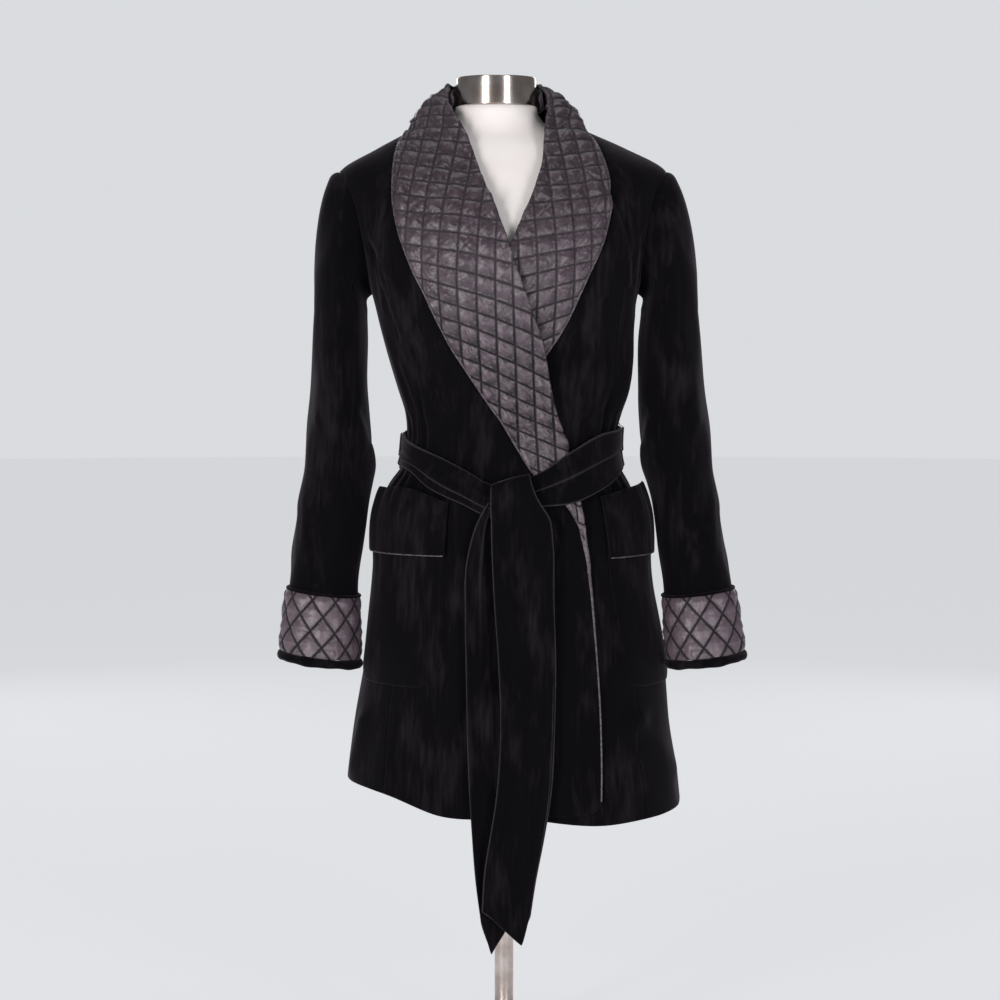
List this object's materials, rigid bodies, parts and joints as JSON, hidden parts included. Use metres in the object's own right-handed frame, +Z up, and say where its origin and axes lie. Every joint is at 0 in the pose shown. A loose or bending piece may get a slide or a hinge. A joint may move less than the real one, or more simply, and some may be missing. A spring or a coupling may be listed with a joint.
{
  "type": "smoking jacket on dress form",
  "caption": "Velvet wrap smoking jacket with quilted shawl collar and turned back cuffs, patch pockets and a tied sash, worn by a limbless dress form on a slim pole and round base.",
  "frame": {"origin": "middle of the stand's base, on the surface it rests on", "axes": "+Z up, the jacket's front faces -Y, the wearer's right side is -X"},
  "size_m": [0.5414, 0.3219, 1.128],
  "materials": {
    "black_velvet": "short dense pile",
    "quilted_satin": "soft sheen, quilted in diamonds",
    "white_jersey": "smooth fine jersey stretched over a firm form",
    "brushed_steel": "polished to a soft shine"
  },
  "bodies": {
    "root": {"form_torso": "white_jersey", "form_neck_cap": "brushed_steel", "form_pole": "brushed_steel", "form_base": "brushed_steel", "front_right": "black_velvet", "front_left": "black_velvet", "side_front_right": "black_velvet", "side_front_left": "black_velvet", "back_right": "black_velvet", "back_left": "black_velvet", "top_sleeve_right": "black_velvet", "top_sleeve_left": "black_velvet", "under_sleeve_right": "black_velvet", "under_sleeve_left": "black_velvet", "cuff_right": "quilted_satin", "cuff_left": "quilted_satin", "cuff_roll_right": "black_velvet", "cuff_roll_left": "black_velvet", "collar_right": "quilted_satin", "collar_left": "quilted_satin", "collar_stand": "quilted_satin", "belt_right": "black_velvet", "belt_left": "black_velvet", "belt_back": "black_velvet", "belt_knot": "black_velvet", "belt_tail_front": "black_velvet", "belt_tail_back": "black_velvet", "belt_loop_right": "black_velvet", "belt_loop_left": "black_velvet", "pocket_right": "black_velvet", "pocket_left": "black_velvet", "pocket_cuff_right": "black_velvet", "pocket_cuff_left": "black_velvet"}
  },
  "joints": []
}
